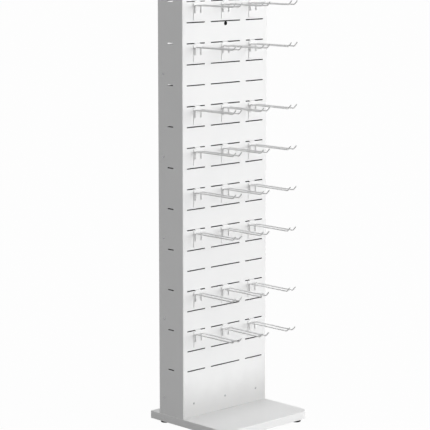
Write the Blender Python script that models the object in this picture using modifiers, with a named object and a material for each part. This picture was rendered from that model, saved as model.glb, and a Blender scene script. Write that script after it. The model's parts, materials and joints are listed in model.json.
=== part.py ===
"""Free-standing hook display rack.

A slotted, folded-steel column stands on a shallow base pan and carries rows of double-prong wire hooks.
The pan turns on a ball bearing over a four-armed floor frame, and each hook slides along its slot.

Metres, +Z up. The origin is on the floor under the middle of the base, on the turning axis. +X runs along
the slots and +Y towards the back, so the hooks point to -Y.
"""

import math

import bmesh
import bpy
from mathutils import Matrix, Vector

# Whole rack
TOTAL_HEIGHT = 1.580
GAP = 0.0003
CUT = 0.005
SHEET = 0.0015
FOLD_RADIUS = 0.003
FOLD_STEPS = 3
MERGE_DISTANCE = 0.000001
SEAM_MERGE_DISTANCE = 0.00001
SHARP_ANGLE = math.radians(35.0)

# Sends an outline drawn in XY to the YZ plane, with its thickness along X
AXES_YZ_ALONG_X = Matrix(((0, 0, 1, 0), (1, 0, 0, 0), (0, 1, 0, 0), (0, 0, 0, 1)))

# Sends an outline drawn in XY to the XZ plane, with its thickness along -Y
AXES_XZ_ALONG_Y = Matrix(((1, 0, 0, 0), (0, 0, -1, 0), (0, 1, 0, 0), (0, 0, 0, 1)))

# Base pan
BASE_WIDTH = 0.403
BASE_DEPTH = 0.383
BASE_BOTTOM = 0.011
BASE_TOP = 0.0375
BASE_SHEET = 0.002
BASE_FRONT_RADIUS = 0.037
BASE_CORNER_STEPS = 6

# Column
COLUMN_WIDTH = 0.400
COLUMN_FRONT = 0.025
COLUMN_DEPTH = 0.120
COLUMN_REAR = COLUMN_FRONT + COLUMN_DEPTH
COLUMN_FOOT = BASE_TOP + GAP
CAP_SKIRT = 0.020
CAP_BOTTOM = TOTAL_HEIGHT - SHEET
COLUMN_HEAD = CAP_BOTTOM - GAP
REAR_FLANGE = 0.040
REAR_HEAD_CLEARANCE = 0.002
REAR_HEAD = CAP_BOTTOM - CAP_SKIRT - REAR_HEAD_CLEARANCE

# Slots
ROW_COUNT = 20
ROW_PITCH = 0.070
LOWEST_ROW = 0.202
SLOT_HEIGHT = 0.0038
MIDDLE_SLOT_HALF = 0.0686
OUTER_SLOT_INNER_END = 0.0967
OUTER_SLOT_OUTER_END = 0.1797
SIDE_SLOT_LENGTH = 0.028
SIDE_SLOT_EVERY = 2
REAR_SLOT_DROP = 0.0045

# Hooks: rows are counted up from the lowest slot row, columns are places along X
HOOK_ROWS = (18, 16, 13, 11, 9, 7, 4, 2)
HOOK_COLUMNS = {"left": -0.130, "middle": 0.0, "right": 0.130}
PLATE_HALF_WIDTH = 0.020
PLATE_BOTTOM = -0.062
PLATE_SHOULDER = -0.005
PLATE_THICKNESS = 0.0015
NECK_HALF_WIDTH = 0.01225
TAB_HALF_WIDTH = 0.0120
TAB_RISE = 0.011
TAB_BEHIND_SHEET = 0.0006
WIRE_RADIUS = 0.0022
WIRE_WELD = 0.0004
PRONG_HALF_SPACING = 0.0138
LEG_BOTTOM = -0.0395
ARM_LEVEL = -0.0130
ARM_BEND_RADIUS = 0.006
ARM_REACH = 0.180
TIP_BEND_RADIUS = 0.012
TIP_ANGLE = math.radians(45.0)
TIP_STRAIGHT = 0.0155
ARM_BEND_STEPS = 3
TIP_BEND_STEPS = 2
WIRE_BEVEL_RESOLUTION = 1

# Screws and plug
SCREW_HEAD_RADIUS = 0.0040
SCREW_CROWN_RADIUS = 0.0030
SCREW_HEAD_HEIGHT = 0.0020
SCREW_CROWN_HEIGHT = 0.0014
SCREW_SHANK_RADIUS = 0.0022
SCREW_LENGTH = 0.0075
SCREW_STEPS = 8
HOLE_SIDES = 6
FRONT_SCREW_PLACES = (-0.150, 0.0, 0.150)
FRONT_SCREW_HEIGHT = 0.086
SIDE_SCREW_COUNT = 6
SIDE_SCREW_LOWEST = 0.098
SIDE_SCREW_PITCH = 4 * ROW_PITCH
SIDE_SCREW_FROM_REAR = 0.026
SIDE_SCREW_Y = COLUMN_REAR - SIDE_SCREW_FROM_REAR
PLUG_ROW = 17
PLUG_RADIUS = 0.006
PLUG_STEM_RADIUS = 0.0048
PLUG_DOME = 0.0022
PLUG_CROWN_RADIUS = 0.0036
PLUG_CROWN_HEIGHT = 0.0019
PLUG_STEM = 0.006
PLUG_STEPS = 12

# Column bracket and its bolts
BRACKET_SHEET = 0.0025
BRACKET_HALF_WIDTH = 0.190
BRACKET_RISE = 0.075
BOLT_PLACES = ((-0.140, 0.058), (0.140, 0.058), (-0.140, 0.112), (0.140, 0.112))
BOLT_RADIUS = 0.004
BOLT_HEX_RADIUS = 0.0075
BOLT_HEAD = 0.0055
BOLT_NUT = 0.0065
BOLT_END = 0.003
HEX_SIDES = 6

# Floor frame and feet
FRAME_BOTTOM = 0.0075
FRAME_TOP = 0.0105
FRAME_HUB_RADIUS = 0.113
FRAME_ARM_HALF_WIDTH = 0.0175
FOOT_PLACES = {
    "front_left": (-0.161, -0.165),
    "front_right": (0.161, -0.165),
    "rear_left": (-0.172, 0.147),
    "rear_right": (0.172, 0.147),
}
FOOT_RADIUS = 0.016
FOOT_CHAMFER = 0.0015
FOOT_STEM_RADIUS = 0.004
FOOT_STEPS = 12
FRAME_WINDOW_RADIUS = 0.018
FRAME_WINDOW_CIRCLE = 0.048
FRAME_WINDOW_COUNT = 4
FRAME_WINDOW_SIDES = 8
FRAME_END_STEPS = 6
FRAME_HUB_STEPS = 5

# Turntable bearing
BALL_RADIUS = 0.004
BALL_CIRCLE = 0.095
BALL_COUNT = 10
BALL_SEGMENTS = 6
BALL_RINGS = 4
RACE_HALF_WIDTH = 0.015
RACE_SPACE = 0.005
TRACK_MOUTH_HALF = 0.0042
TRACK_FLOOR_HALF = 0.0022
RACE_STEPS = 24
CAGE_THICKNESS = 0.0015
CAGE_HALF_WIDTH = 0.009
LOWER_RACE_BOTTOM = FRAME_TOP + GAP
UPPER_RACE_TOP = BASE_TOP - BASE_SHEET - GAP
BALL_LEVEL = (LOWER_RACE_BOTTOM + UPPER_RACE_TOP) / 2
STUD_RADIUS = 0.005
STUD_FLANGE_RADIUS = 0.020
STUD_FLANGE = 0.003
STUD_NUT_RADIUS = 0.011
STUD_NUT = 0.004
STUD_STEPS = 12


def clear_scene():
    for old in list(bpy.data.objects):
        bpy.data.objects.remove(old, do_unlink=True)


def new_collection(name):
    collection = bpy.data.collections.new(name)
    bpy.context.scene.collection.children.link(collection)
    return collection


def paint(name, colour, roughness, metallic):
    """A plain Principled material."""
    material = bpy.data.materials.new(name)
    material.use_nodes = True
    shader = material.node_tree.nodes["Principled BSDF"]
    shader.inputs["Base Color"].default_value = (*colour, 1.0)
    shader.inputs["Roughness"].default_value = roughness
    shader.inputs["Metallic"].default_value = metallic
    return material


clear_scene()
RACK = new_collection("hook_display_rack")
CUTTERS = new_collection("cutters")
WHITE = paint("white_powder_coat", (0.86, 0.86, 0.85), 0.45, 0.0)
HOOK_WHITE = paint("white_hook_coat", (0.84, 0.84, 0.84), 0.35, 0.0)
ZINC = paint("zinc_plate", (0.62, 0.63, 0.64), 0.35, 1.0)
BEARING_STEEL = paint("bearing_steel", (0.55, 0.55, 0.56), 0.25, 1.0)
FRAME_BLACK = paint("black_frame_coat", (0.06, 0.06, 0.06), 0.5, 0.0)
RUBBER = paint("foot_rubber", (0.07, 0.07, 0.07), 0.8, 0.0)
PLUG_BLACK = paint("plug_black", (0.02, 0.02, 0.02), 0.45, 0.0)

TURN_AXIS = bpy.data.objects.new("turn_axis", None)
RACK.objects.link(TURN_AXIS)


def add_object(name, mesh, material, parent=None):
    """One sub-part of the rack, with its own material."""
    part = bpy.data.objects.new(name, mesh)
    RACK.objects.link(part)
    part.parent = parent
    if not mesh.materials:
        mesh.materials.append(material)
    return part


def add_cutter(name, mesh):
    """A helper solid that only cuts or joins."""
    cutter = bpy.data.objects.new(name, mesh)
    CUTTERS.objects.link(cutter)
    cutter.hide_render = True
    cutter.display_type = "WIRE"
    return cutter


def combine(part, cutter, operation):
    modifier = part.modifiers.new(f"{operation.lower()} {cutter.name}", "BOOLEAN")
    modifier.operation = operation
    modifier.solver = "EXACT"
    modifier.object = cutter


def evaluated_mesh(source, name):
    """The shape of an object with its modifiers, as a mesh of its own with its doubles merged."""
    graph = bpy.context.evaluated_depsgraph_get()
    mesh = bpy.data.meshes.new_from_object(source.evaluated_get(graph))
    mesh.name = name
    shape = bmesh.new()
    shape.from_mesh(mesh)
    bmesh.ops.remove_doubles(shape, verts=shape.verts, dist=MERGE_DISTANCE)
    bmesh.ops.recalc_face_normals(shape, faces=shape.faces)
    shape.to_mesh(mesh)
    shape.free()
    return mesh


def bake_and_drop(source, name):
    """Turns a temporary object into a mesh and removes the object."""
    mesh = evaluated_mesh(source, name)
    bpy.data.objects.remove(source, do_unlink=True)
    return mesh


def arc(centre, radius, start, end, steps):
    """Points on an arc about a 2D centre, angles in degrees."""
    points = []
    for step in range(steps + 1):
        angle = math.radians(start + (end - start) * step / steps)
        points.append((centre[0] + radius * math.cos(angle), centre[1] + radius * math.sin(angle)))
    return points


def rectangle(left, right, low, high):
    return [(left, low), (right, low), (right, high), (left, high)]


def prism_mesh(name, outline, low, high):
    """A flat outline in XY, extruded from low to high along Z."""
    curve = bpy.data.curves.new(name, "CURVE")
    curve.dimensions = "2D"
    curve.fill_mode = "BOTH"
    curve.extrude = (high - low) / 2
    spline = curve.splines.new("POLY")
    spline.points.add(len(outline) - 1)
    for point, place in zip(spline.points, outline):
        point.co = (place[0], place[1], 0.0, 1.0)
    spline.use_cyclic_u = True
    flat = bpy.data.objects.new(name, curve)
    CUTTERS.objects.link(flat)
    mesh = bake_and_drop(flat, name)
    mesh.transform(Matrix.Translation((0.0, 0.0, (low + high) / 2)))
    return mesh


def turned_mesh(name, profile, steps):
    """A profile of (radius, height) points, running down its outer side, turned about Z."""
    shape = bmesh.new()
    points = [shape.verts.new((radius, 0.0, height)) for radius, height in profile]
    for upper, lower in zip(points, points[1:]):
        shape.edges.new((upper, lower))
    mesh = bpy.data.meshes.new(name)
    shape.to_mesh(mesh)
    shape.free()
    blank = bpy.data.objects.new(name, mesh)
    CUTTERS.objects.link(blank)
    screw = blank.modifiers.new("turn", "SCREW")
    screw.steps = steps
    screw.render_steps = steps
    screw.use_merge_vertices = True
    screw.merge_threshold = SEAM_MERGE_DISTANCE
    return bake_and_drop(blank, name)


def smooth(mesh):
    mesh.shade_smooth()
    mesh.set_sharp_from_angle(angle=SHARP_ANGLE)
    return mesh


def add_box(shape, low, high):
    """A box between two corners, added to a mesh being built."""
    low = Vector(low)
    high = Vector(high)
    size = high - low
    place = Matrix.Translation((low + high) / 2) @ Matrix.Diagonal((*size, 1.0))
    bmesh.ops.create_cube(shape, size=1.0, matrix=place)


def add_hole(shape, centre, axis, radius, length, sides):
    """A round cutter with the given clear radius along an axis, added to a mesh being built."""
    corner_radius = radius / math.cos(math.pi / sides)
    turn = Vector(axis).to_track_quat("Z", "Y").to_matrix().to_4x4()
    place = Matrix.Translation(centre) @ turn
    bmesh.ops.create_cone(
        shape,
        cap_ends=True,
        segments=sides,
        radius1=corner_radius,
        radius2=corner_radius,
        depth=length,
        matrix=place,
    )


def mesh_from(shape, name):
    mesh = bpy.data.meshes.new(name)
    shape.to_mesh(mesh)
    shape.free()
    return mesh


def folded_sheet(name, path, low, high, material):
    """An upright sheet on a plan path, its outer face on the left of the path's direction."""
    shape = bmesh.new()
    lower = [shape.verts.new((x, y, low)) for x, y in path]
    upper = [shape.verts.new((x, y, high)) for x, y in path]
    for index in range(len(path) - 1):
        shape.faces.new((lower[index], lower[index + 1], upper[index + 1], upper[index]))
    part = add_object(name, mesh_from(shape, name), material, TURN_AXIS)
    wall = part.modifiers.new("sheet", "SOLIDIFY")
    wall.thickness = SHEET
    wall.offset = -1.0
    wall.use_even_offset = True
    return part


def row_height(row):
    return LOWEST_ROW + row * ROW_PITCH


def slot_spans():
    """The X spans of the three slots of a row."""
    return (
        (-OUTER_SLOT_OUTER_END, -OUTER_SLOT_INNER_END),
        (-MIDDLE_SLOT_HALF, MIDDLE_SLOT_HALF),
        (OUTER_SLOT_INNER_END, OUTER_SLOT_OUTER_END),
    )


def add_slot_row(shape, height, near, far):
    """Cutters for one row of slots through a sheet between two Y places."""
    half = SLOT_HEIGHT / 2
    for left, right in slot_spans():
        add_box(shape, (left, near, height - half), (right, far, height + half))


def side_screw_heights():
    return [SIDE_SCREW_LOWEST + index * SIDE_SCREW_PITCH for index in range(SIDE_SCREW_COUNT)]


def add_side_screw_holes(shape):
    """Screw clearance holes through both side walls and the flanges behind them."""
    for height in side_screw_heights():
        for side in (-1, 1):
            centre = (side * COLUMN_WIDTH / 2, SIDE_SCREW_Y, height)
            add_hole(shape, centre, (1, 0, 0), SCREW_SHANK_RADIUS + GAP, 4 * CUT, HOLE_SIDES)


def add_front_screw_holes(shape):
    for place in FRONT_SCREW_PLACES:
        centre = (place, COLUMN_FRONT, FRONT_SCREW_HEIGHT)
        add_hole(shape, centre, (0, 1, 0), SCREW_SHANK_RADIUS + GAP, 4 * CUT, HOLE_SIDES)


def plug_height():
    """The plug sits just under the slots of its row."""
    return row_height(PLUG_ROW) - SLOT_HEIGHT / 2 - GAP - PLUG_RADIUS


def make_column_shell():
    """Front and both sides, folded from one sheet, with its slots and screw holes."""
    half = COLUMN_WIDTH / 2
    left_fold = (-half + FOLD_RADIUS, COLUMN_FRONT + FOLD_RADIUS)
    right_fold = (half - FOLD_RADIUS, COLUMN_FRONT + FOLD_RADIUS)
    path = [(-half, COLUMN_REAR)]
    path += arc(left_fold, FOLD_RADIUS, 180, 270, FOLD_STEPS)
    path += arc(right_fold, FOLD_RADIUS, 270, 360, FOLD_STEPS)
    path += [(half, COLUMN_REAR)]
    shell = folded_sheet("column_shell", path, COLUMN_FOOT, COLUMN_HEAD, WHITE)

    cuts = bmesh.new()
    slot_half = SLOT_HEIGHT / 2
    side_centre = COLUMN_FRONT + COLUMN_DEPTH / 2
    for row in range(ROW_COUNT):
        height = row_height(row)
        add_slot_row(cuts, height, COLUMN_FRONT - CUT, COLUMN_FRONT + CUT)
        if row % SIDE_SLOT_EVERY:
            continue
        for side in (-1, 1):
            wall = side * half
            low = (wall - CUT, side_centre - SIDE_SLOT_LENGTH / 2, height - slot_half)
            high = (wall + CUT, side_centre + SIDE_SLOT_LENGTH / 2, height + slot_half)
            add_box(cuts, low, high)
    add_front_screw_holes(cuts)
    add_side_screw_holes(cuts)
    plug_centre = (0.0, COLUMN_FRONT, plug_height())
    add_hole(cuts, plug_centre, (0, 1, 0), PLUG_STEM_RADIUS + GAP, 2 * CUT, PLUG_STEPS)
    combine(shell, add_cutter("shell_cuts", mesh_from(cuts, "shell_cuts")), "DIFFERENCE")


def make_rear_panel():
    """Slotted back, with flanges that lie inside the sides and take the side screws."""
    half = COLUMN_WIDTH / 2 - SHEET - GAP
    rear = COLUMN_REAR - GAP
    path = [(half, rear - REAR_FLANGE)]
    path += arc((half - FOLD_RADIUS, rear - FOLD_RADIUS), FOLD_RADIUS, 0, 90, FOLD_STEPS)
    path += arc((-half + FOLD_RADIUS, rear - FOLD_RADIUS), FOLD_RADIUS, 90, 180, FOLD_STEPS)
    path += [(-half, rear - REAR_FLANGE)]
    panel = folded_sheet("rear_panel", path, COLUMN_FOOT, REAR_HEAD, WHITE)

    cuts = bmesh.new()
    for row in range(ROW_COUNT):
        add_slot_row(cuts, row_height(row) - REAR_SLOT_DROP, rear - CUT, rear + CUT)
    add_side_screw_holes(cuts)
    combine(panel, add_cutter("rear_cuts", mesh_from(cuts, "rear_cuts")), "DIFFERENCE")


def make_top_cap():
    """Lid with a skirt that drops inside the column."""
    half = COLUMN_WIDTH / 2
    outline = arc((-half + FOLD_RADIUS, COLUMN_FRONT + FOLD_RADIUS), FOLD_RADIUS, 180, 270, FOLD_STEPS)
    outline += arc((half - FOLD_RADIUS, COLUMN_FRONT + FOLD_RADIUS), FOLD_RADIUS, 270, 360, FOLD_STEPS)
    outline += [(half, COLUMN_REAR), (-half, COLUMN_REAR)]
    lid = prism_mesh("top_cap", outline, CAP_BOTTOM, TOTAL_HEIGHT)
    cap = add_object("top_cap", lid, WHITE, TURN_AXIS)

    inset = SHEET + 2 * GAP
    front = COLUMN_FRONT + inset
    side = half - inset
    rear = COLUMN_REAR - GAP
    skirt_low = CAP_BOTTOM - CAP_SKIRT
    outer = prism_mesh("skirt", rectangle(-side, side, front, rear), skirt_low, CAP_BOTTOM + SHEET / 2)
    combine(cap, add_cutter("cap_skirt", outer), "UNION")
    hollow = rectangle(-side + SHEET, side - SHEET, front + SHEET, rear - SHEET)
    inner = prism_mesh("hollow", hollow, skirt_low - CUT, CAP_BOTTOM)
    combine(cap, add_cutter("cap_hollow", inner), "DIFFERENCE")


def base_outline(inset):
    """Plan of the base, drawn in by inset: round corners in front, folded ones at the back."""
    side = BASE_WIDTH / 2 - inset
    end = BASE_DEPTH / 2 - inset
    front_radius = BASE_FRONT_RADIUS - inset
    rear_radius = FOLD_RADIUS - inset
    outline = arc((-side + front_radius, -end + front_radius), front_radius, 180, 270, BASE_CORNER_STEPS)
    outline += arc((side - front_radius, -end + front_radius), front_radius, 270, 360, BASE_CORNER_STEPS)
    outline += arc((side - rear_radius, end - rear_radius), rear_radius, 0, 90, FOLD_STEPS)
    outline += arc((-side + rear_radius, end - rear_radius), rear_radius, 90, 180, FOLD_STEPS)
    return outline


def add_bolt_holes(shape, height):
    for x, y in BOLT_PLACES:
        add_hole(shape, (x, y, height), (0, 0, 1), BOLT_RADIUS + GAP, 2 * CUT, HOLE_SIDES)


def make_base_pan():
    """Shallow tray, open below, that hides the turntable."""
    block = prism_mesh("base_pan", base_outline(0.0), BASE_BOTTOM, BASE_TOP)
    pan = add_object("base_pan", block, WHITE, TURN_AXIS)
    hollow = prism_mesh("pan_hollow", base_outline(BASE_SHEET), BASE_BOTTOM - CUT, BASE_TOP - BASE_SHEET)
    combine(pan, add_cutter("pan_hollow", hollow), "DIFFERENCE")
    holes = bmesh.new()
    add_bolt_holes(holes, BASE_TOP)
    combine(pan, add_cutter("pan_holes", mesh_from(holes, "pan_holes")), "DIFFERENCE")


def make_column_bracket():
    """Channel inside the column's foot: the front screws go into its front wall."""
    low = COLUMN_FOOT
    front = COLUMN_FRONT + SHEET + GAP
    rear = COLUMN_REAR - SHEET - 3 * GAP
    wall = BRACKET_SHEET
    high = low + BRACKET_RISE
    outline = [
        (front, high),
        (front, low),
        (rear, low),
        (rear, high),
        (rear - wall, high),
        (rear - wall, low + wall),
        (front + wall, low + wall),
        (front + wall, high),
    ]
    mesh = prism_mesh("column_bracket", outline, -BRACKET_HALF_WIDTH, BRACKET_HALF_WIDTH)
    mesh.transform(AXES_YZ_ALONG_X)
    bracket = add_object("column_bracket", mesh, ZINC, TURN_AXIS)
    holes = bmesh.new()
    add_bolt_holes(holes, COLUMN_FOOT)
    add_front_screw_holes(holes)
    combine(bracket, add_cutter("bracket_holes", mesh_from(holes, "bracket_holes")), "DIFFERENCE")


def make_bracket_bolts():
    """Hexagon bolts up through the pan and the bracket, each with its nut."""
    head_top = BASE_TOP - BASE_SHEET - GAP
    nut_low = COLUMN_FOOT + BRACKET_SHEET + GAP
    nut_high = nut_low + BOLT_NUT
    profile = [
        (0.0, nut_high + BOLT_END),
        (BOLT_RADIUS, nut_high + BOLT_END),
        (BOLT_RADIUS, nut_high),
        (BOLT_HEX_RADIUS, nut_high),
        (BOLT_HEX_RADIUS, nut_low),
        (BOLT_RADIUS, nut_low),
        (BOLT_RADIUS, head_top),
        (BOLT_HEX_RADIUS, head_top),
        (BOLT_HEX_RADIUS, head_top - BOLT_HEAD),
        (0.0, head_top - BOLT_HEAD),
    ]
    mesh = turned_mesh("bracket_bolt", profile, HEX_SIDES)
    for number, (x, y) in enumerate(BOLT_PLACES, start=1):
        bolt = add_object(f"bracket_bolt_{number}", mesh, ZINC, TURN_AXIS)
        bolt.location = (x, y, 0.0)


def make_screws():
    """Button-head screws: three in front, a line of them up each side."""
    profile = [
        (0.0, SCREW_HEAD_HEIGHT),
        (SCREW_CROWN_RADIUS, SCREW_CROWN_HEIGHT),
        (SCREW_HEAD_RADIUS, 0.0),
        (SCREW_SHANK_RADIUS, 0.0),
        (SCREW_SHANK_RADIUS, -SCREW_LENGTH),
        (0.0, -SCREW_LENGTH),
    ]
    mesh = smooth(turned_mesh("screw", profile, SCREW_STEPS))
    for number, place in enumerate(FRONT_SCREW_PLACES, start=1):
        screw = add_object(f"front_screw_{number}", mesh, ZINC, TURN_AXIS)
        screw.location = (place, COLUMN_FRONT - GAP, FRONT_SCREW_HEIGHT)
        screw.rotation_euler = (math.radians(90.0), 0.0, 0.0)
    for side, name in ((-1, "left"), (1, "right")):
        for number, height in enumerate(side_screw_heights(), start=1):
            screw = add_object(f"side_screw_{name}_{number}", mesh, ZINC, TURN_AXIS)
            screw.location = (side * (COLUMN_WIDTH / 2 + GAP), SIDE_SCREW_Y, height)
            screw.rotation_euler = (0.0, side * math.radians(90.0), 0.0)


def make_plug():
    """Black push-in plug under the middle slot."""
    profile = [
        (0.0, PLUG_DOME),
        (PLUG_CROWN_RADIUS, PLUG_CROWN_HEIGHT),
        (PLUG_RADIUS, 0.0),
        (PLUG_STEM_RADIUS, 0.0),
        (PLUG_STEM_RADIUS, -PLUG_STEM),
        (0.0, -PLUG_STEM),
    ]
    mesh = smooth(turned_mesh("front_plug", profile, PLUG_STEPS))
    plug = add_object("front_plug", mesh, PLUG_BLACK, TURN_AXIS)
    plug.location = (0.0, COLUMN_FRONT - GAP, plug_height())
    plug.rotation_euler = (math.radians(90.0), 0.0, 0.0)


def prong_path():
    """One prong in the YZ plane: leg up the plate, bend, arm forwards, turned-up tip."""
    leg = -GAP - PLATE_THICKNESS - WIRE_RADIUS + WIRE_WELD
    bend_centre = (leg - ARM_BEND_RADIUS, ARM_LEVEL - ARM_BEND_RADIUS)
    tip_centre = (-ARM_REACH, ARM_LEVEL + TIP_BEND_RADIUS)
    tip_end_degrees = 270.0 - math.degrees(TIP_ANGLE)
    path = [(leg, LEG_BOTTOM)]
    path += arc(bend_centre, ARM_BEND_RADIUS, 0, 90, ARM_BEND_STEPS)
    path += arc(tip_centre, TIP_BEND_RADIUS, 270, tip_end_degrees, TIP_BEND_STEPS)
    y, z = path[-1]
    path.append((y - TIP_STRAIGHT * math.cos(TIP_ANGLE), z + TIP_STRAIGHT * math.sin(TIP_ANGLE)))
    return path


def prong_mesh(place):
    """A wire along the prong's path at one X place."""
    curve = bpy.data.curves.new("prong", "CURVE")
    curve.dimensions = "3D"
    curve.bevel_depth = WIRE_RADIUS
    curve.bevel_resolution = WIRE_BEVEL_RESOLUTION
    curve.use_fill_caps = True
    path = prong_path()
    spline = curve.splines.new("POLY")
    spline.points.add(len(path) - 1)
    for point, (y, z) in zip(spline.points, path):
        point.co = (place, y, z, 1.0)
    wire = bpy.data.objects.new("prong", curve)
    CUTTERS.objects.link(wire)
    return bake_and_drop(wire, "prong")


def hook_mesh():
    """Back plate with its tab through the slot, and two prongs welded to it.

    The origin is in the middle of the slot, on the column's front face.
    """
    front = GAP + PLATE_THICKNESS
    tab_low = GAP - SLOT_HEIGHT / 2
    tab_high = tab_low + PLATE_THICKNESS
    outline = [
        (-PLATE_HALF_WIDTH, PLATE_BOTTOM),
        (PLATE_HALF_WIDTH, PLATE_BOTTOM),
        (PLATE_HALF_WIDTH, PLATE_SHOULDER),
        (NECK_HALF_WIDTH, PLATE_SHOULDER),
        (NECK_HALF_WIDTH, tab_high),
        (-NECK_HALF_WIDTH, tab_high),
        (-NECK_HALF_WIDTH, PLATE_SHOULDER),
        (-PLATE_HALF_WIDTH, PLATE_SHOULDER),
    ]
    plate_mesh = prism_mesh("hook_plate", outline, GAP, front)
    plate_mesh.transform(AXES_XZ_ALONG_Y)
    plate = bpy.data.objects.new("hook_plate", plate_mesh)
    CUTTERS.objects.link(plate)

    hook_near = SHEET + TAB_BEHIND_SHEET
    hook_far = hook_near + PLATE_THICKNESS
    start = -GAP - PLATE_THICKNESS / 2
    tab_outline = [
        (start, tab_low),
        (hook_far, tab_low),
        (hook_far, TAB_RISE),
        (hook_near, TAB_RISE),
        (hook_near, tab_high),
        (start, tab_high),
    ]
    tab = prism_mesh("hook_tab", tab_outline, -TAB_HALF_WIDTH, TAB_HALF_WIDTH)
    tab.transform(AXES_YZ_ALONG_X)
    combine(plate, add_cutter("hook_tab", tab), "UNION")
    for side in (-1, 1):
        prong = add_cutter("hook_prong", prong_mesh(side * PRONG_HALF_SPACING))
        combine(plate, prong, "UNION")
    return smooth(bake_and_drop(plate, "hook"))


def make_hooks():
    """Eight rows of three hooks, each with its origin on its own sliding line."""
    mesh = hook_mesh()
    for number, row in enumerate(HOOK_ROWS, start=1):
        for name, place in HOOK_COLUMNS.items():
            hook = add_object(f"hook_{number}_{name}", mesh, HOOK_WHITE, TURN_AXIS)
            hook.location = (place, COLUMN_FRONT, row_height(row))


def frame_outline():
    """Hub circle with an arm of even width out to each foot, ending in a half circle round it."""
    edge = math.degrees(math.asin(FRAME_ARM_HALF_WIDTH / FRAME_HUB_RADIUS))
    feet = sorted((math.degrees(math.atan2(y, x)), (x, y)) for x, y in FOOT_PLACES.values())
    outline = []
    for index, (angle, foot) in enumerate(feet):
        outline += arc(foot, FRAME_ARM_HALF_WIDTH, angle - 90, angle + 90, FRAME_END_STEPS)
        following = feet[(index + 1) % len(feet)][0]
        span = (following - angle) % 360
        outline += arc((0.0, 0.0), FRAME_HUB_RADIUS, angle + edge, angle + span - edge, FRAME_HUB_STEPS)
    return outline


def make_floor_frame():
    """Flat four-armed plate that stands still under the turning base."""
    plate = prism_mesh("floor_frame", frame_outline(), FRAME_BOTTOM, FRAME_TOP)
    frame = add_object("floor_frame", plate, FRAME_BLACK)
    cuts = bmesh.new()
    middle = (FRAME_BOTTOM + FRAME_TOP) / 2
    for place in FOOT_PLACES.values():
        add_hole(cuts, (*place, middle), (0, 0, 1), FOOT_STEM_RADIUS + GAP, 2 * CUT, HOLE_SIDES)
    add_hole(cuts, (0.0, 0.0, middle), (0, 0, 1), STUD_RADIUS + GAP, 2 * CUT, STUD_STEPS)
    for index in range(FRAME_WINDOW_COUNT):
        angle = 2 * math.pi * index / FRAME_WINDOW_COUNT
        x = FRAME_WINDOW_CIRCLE * math.cos(angle)
        y = FRAME_WINDOW_CIRCLE * math.sin(angle)
        add_hole(cuts, (x, y, middle), (0, 0, 1), FRAME_WINDOW_RADIUS, 2 * CUT, FRAME_WINDOW_SIDES)
    combine(frame, add_cutter("frame_cuts", mesh_from(cuts, "frame_cuts")), "DIFFERENCE")


def make_feet():
    """Rubber pads with a stem pushed into the arm above."""
    top = FRAME_BOTTOM - GAP
    stem_top = FRAME_TOP - GAP
    profile = [
        (0.0, stem_top),
        (FOOT_STEM_RADIUS, stem_top),
        (FOOT_STEM_RADIUS, top),
        (FOOT_RADIUS, top),
        (FOOT_RADIUS, FOOT_CHAMFER),
        (FOOT_RADIUS - FOOT_CHAMFER, 0.0),
        (0.0, 0.0),
    ]
    mesh = smooth(turned_mesh("foot_pad", profile, FOOT_STEPS))
    for name, (x, y) in FOOT_PLACES.items():
        foot = add_object(f"foot_pad_{name}", mesh, RUBBER)
        foot.location = (x, y, 0.0)


def race_profile(face, back):
    """Half of a thrust bearing: a ring with a flat-bottomed ball track in its face, as (radius, height) points."""
    side = 1 if face > BALL_LEVEL else -1
    track = BALL_LEVEL + side * (BALL_RADIUS + GAP)
    inner = BALL_CIRCLE - RACE_HALF_WIDTH
    outer = BALL_CIRCLE + RACE_HALF_WIDTH
    profile = [
        (inner, back),
        (inner, face),
        (BALL_CIRCLE - TRACK_MOUTH_HALF, face),
        (BALL_CIRCLE - TRACK_FLOOR_HALF, track),
        (BALL_CIRCLE + TRACK_FLOOR_HALF, track),
        (BALL_CIRCLE + TRACK_MOUTH_HALF, face),
        (outer, face),
        (outer, back),
        (inner, back),
    ]
    return profile if face < BALL_LEVEL else profile[::-1]


def make_bearing():
    """Thrust bearing between floor frame and pan: two grooved races and a cage of balls."""
    lower = race_profile(BALL_LEVEL - RACE_SPACE / 2, LOWER_RACE_BOTTOM)
    upper = race_profile(BALL_LEVEL + RACE_SPACE / 2, UPPER_RACE_TOP)
    add_object("lower_race", smooth(turned_mesh("lower_race", lower, RACE_STEPS)), BEARING_STEEL)
    add_object("upper_race", smooth(turned_mesh("upper_race", upper, RACE_STEPS)), BEARING_STEEL, TURN_AXIS)

    inner = BALL_CIRCLE - CAGE_HALF_WIDTH
    outer = BALL_CIRCLE + CAGE_HALF_WIDTH
    low = BALL_LEVEL - CAGE_THICKNESS / 2
    high = BALL_LEVEL + CAGE_THICKNESS / 2
    ring = [(inner, high), (outer, high), (outer, low), (inner, low), (inner, high)]
    cage = add_object("ball_cage", turned_mesh("ball_cage", ring, RACE_STEPS), BEARING_STEEL)
    balls = bmesh.new()
    for index in range(BALL_COUNT):
        turn = Matrix.Rotation(2 * math.pi * index / BALL_COUNT, 4, "Z")
        place = turn @ Matrix.Translation((BALL_CIRCLE, 0.0, BALL_LEVEL))
        bmesh.ops.create_uvsphere(
            balls,
            u_segments=BALL_SEGMENTS,
            v_segments=BALL_RINGS,
            radius=BALL_RADIUS,
            matrix=place,
        )
    combine(cage, add_cutter("balls", mesh_from(balls, "balls")), "UNION")


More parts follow.
